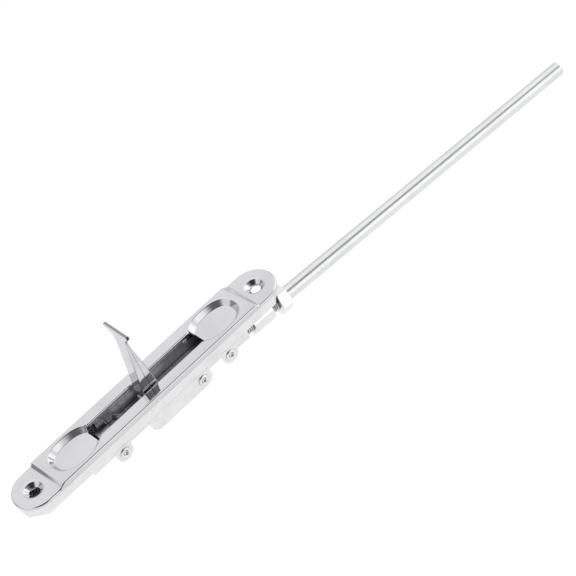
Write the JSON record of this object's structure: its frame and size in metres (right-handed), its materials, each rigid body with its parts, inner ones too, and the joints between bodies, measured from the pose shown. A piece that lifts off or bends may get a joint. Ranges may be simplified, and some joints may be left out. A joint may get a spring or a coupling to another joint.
{
  "type": "slide bolt",
  "caption": "Lever-action extension slide bolt: pressed faceplate with finger recesses, flip lever, riveted casing and a long rod, let into the edge of a door leaf.",
  "frame": {"origin": "middle of the row of screw holes in the faceplate, in the throat of their countersinks", "axes": "+X along the bolt towards the rod tip, +Y across the faceplate, +Z out of the door edge"},
  "size_m": [0.3792, 0.0254, 0.0806],
  "materials": {
    "polished_steel": "polished stainless sheet",
    "lever_steel": "polished stainless sheet",
    "zinc": "bright zinc plate on steel",
    "bright_steel": "drawn bright steel",
    "spring_steel": "polished spring steel"
  },
  "bodies": {
    "frame": {"faceplate": "polished_steel", "housing_tray": "zinc", "side_plate_near": "zinc", "side_plate_far": "zinc", "spacer_tubes": "zinc", "guide_bushes": "zinc", "hollow_rivets": "zinc", "pivot_rivets": "bright_steel", "pivot_bushes": "zinc", "friction_spring": "spring_steel", "bridge_plate": "zinc"},
    "lever": {"lever_front_leaf": "lever_steel", "lever_back_leaf": "lever_steel", "crank_plate_near": "zinc", "crank_plate_far": "zinc", "crank_pin": "bright_steel"},
    "slide": {"drive_bar": "zinc", "clevis_pin": "bright_steel", "clevis_clips": "bright_steel"},
    "rod": {"clevis_stud": "zinc", "coupling_sleeve": "zinc", "lock_nut": "zinc", "bolt_rod": "bright_steel"}
  },
  "joints": [
    {"name": "lever_flip", "type": "hinge", "parent": "frame", "child": "lever", "pos_m": [0, 0, -0.00105], "axis": [0, 1, 0], "range_deg": [-80.5, 80.5]},
    {"name": "bolt_slide", "type": "slide", "parent": "frame", "child": "slide", "axis": [1, 0, 0], "range_m": [-0.0095, 0.0095]},
    {"name": "rod_swing", "type": "hinge", "parent": "slide", "child": "rod", "pos_m": [0.052, 0, -0.0146], "axis": [0, -1, 0], "range_deg": [0, 4.4]}
  ],
  "couplings": [
    {"joint": "lever_flip", "follows": "bolt_slide", "rad_per_m": -147.9}
  ]
}
